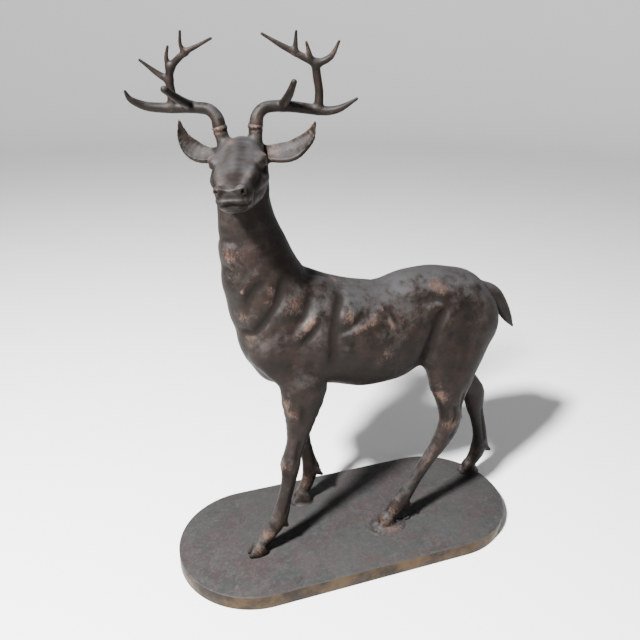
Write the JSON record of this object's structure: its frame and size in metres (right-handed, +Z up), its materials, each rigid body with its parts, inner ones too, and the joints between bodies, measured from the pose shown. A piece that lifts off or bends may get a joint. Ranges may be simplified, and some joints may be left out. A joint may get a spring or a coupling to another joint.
{
  "type": "stag sculpture",
  "caption": "Standing stag sculpture in dark cast bronze, head turned to its left under branched antlers, fixed on a flat plate with half-round ends.",
  "frame": {"origin": "middle of the base plate's flat underside", "axes": "+Z up, +X the way the stag walks, +Y its left side, towards which the head is turned"},
  "size_m": [1.2514, 0.516, 1.6456],
  "materials": {
    "base_plate": "cast bronze with a mottled brown and grey-violet patina, ochre rim",
    "stag": "cast bronze, near-black patina rubbed to copper on the high parts",
    "antler_left": "cast bronze, dark patina paler towards the tips",
    "antler_right": "cast bronze, dark patina paler towards the tips"
  },
  "bodies": {
    "root": {"base_plate": "base_plate", "stag": "stag", "antler_left": "antler_left", "antler_right": "antler_right"}
  },
  "joints": []
}
